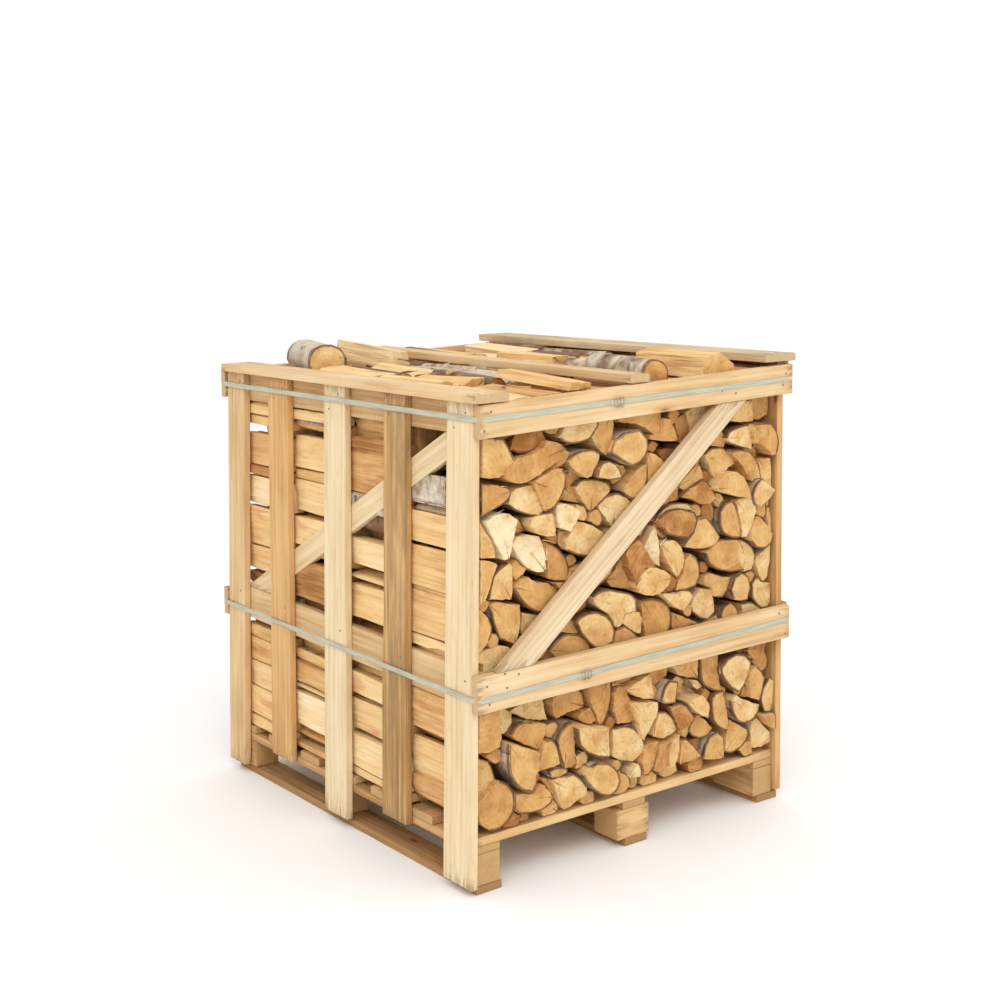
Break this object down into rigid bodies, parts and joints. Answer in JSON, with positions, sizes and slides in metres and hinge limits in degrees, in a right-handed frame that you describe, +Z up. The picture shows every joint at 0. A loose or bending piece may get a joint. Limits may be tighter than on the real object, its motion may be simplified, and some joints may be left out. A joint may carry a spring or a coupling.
{
  "type": "strapped crate of split birch firewood",
  "caption": "Slatted timber crate on a pallet, packed with rows of split birch logs, tied round with two flat plastic straps.",
  "frame": {"origin": "on the floor, under the middle of the crate's outer box", "axes": "+X along the front with the straps' buckles, towards its right; +Y from the front to the back, along the logs and the pallet's skids; +Z up"},
  "size_m": [1.0856, 1.28, 1.2569],
  "materials": {
    "crate_boards": "rough-sawn pale softwood",
    "brace_boards": "rough-sawn cream softwood",
    "dark_boards": "rough-sawn tan softwood",
    "weathered_board": "weathered grey-brown board",
    "pallet_boards": "rough-sawn pallet boards",
    "pallet_wood": "rough-sawn pallet blocks and skids",
    "split_birch": "split and sawn birch, dry",
    "birch_bark": "white and grey birch bark",
    "strap_plastic": "embossed pale grey strapping",
    "buckle_steel": "dull galvanised wire"
  },
  "bodies": {
    "root": {"back_brace": "brace_boards", "back_rail_middle": "crate_boards", "back_rail_top": "crate_boards", "deck_board_1": "pallet_boards", "deck_board_2": "pallet_boards", "deck_board_3": "pallet_boards", "deck_board_4": "pallet_boards", "deck_board_5": "pallet_boards", "deck_board_6": "pallet_boards", "deck_board_7": "pallet_boards", "firewood_row_1": "split_birch", "firewood_row_2": "split_birch", "firewood_row_3": "split_birch", "firewood_row_4": "split_birch", "front_brace": "brace_boards", "front_rail_middle": "crate_boards", "front_rail_top": "crate_boards", "left_brace": "brace_boards", "left_cap": "crate_boards", "left_rail_middle": "crate_boards", "left_rail_top": "crate_boards", "left_slat_1": "crate_boards", "left_slat_2": "crate_boards", "left_slat_3": "crate_boards", "left_slat_4": "crate_boards", "left_slat_5": "crate_boards", "middle_cap": "crate_boards", "pallet_block_left_back": "pallet_wood", "pallet_block_left_front": "pallet_wood", "pallet_block_left_middle": "pallet_wood", "pallet_block_middle_back": "pallet_wood", "pallet_block_middle_front": "pallet_wood", "pallet_block_middle_middle": "pallet_wood", "pallet_block_right_back": "pallet_wood", "pallet_block_right_front": "pallet_wood", "pallet_block_right_middle": "pallet_wood", "pallet_skid_left": "pallet_wood", "pallet_skid_middle": "pallet_wood", "pallet_skid_right": "pallet_wood", "pallet_stringer_left": "pallet_boards", "pallet_stringer_middle": "pallet_boards", "pallet_stringer_right": "pallet_boards", "right_brace": "brace_boards", "right_cap": "weathered_board", "right_rail_middle": "dark_boards", "right_rail_top": "dark_boards", "right_slat_1": "dark_boards", "right_slat_2": "dark_boards", "right_slat_3": "dark_boards", "right_slat_4": "dark_boards", "right_slat_5": "dark_boards", "strap_buckle_lower": "buckle_steel", "strap_buckle_upper": "buckle_steel", "strap_lower": "strap_plastic", "strap_upper": "strap_plastic", "top_log_big_split": "split_birch", "top_log_flat_split": "split_birch", "top_log_grey_bark": "birch_bark", "top_log_leaning": "split_birch", "top_log_white_bark": "birch_bark"}
  },
  "joints": []
}
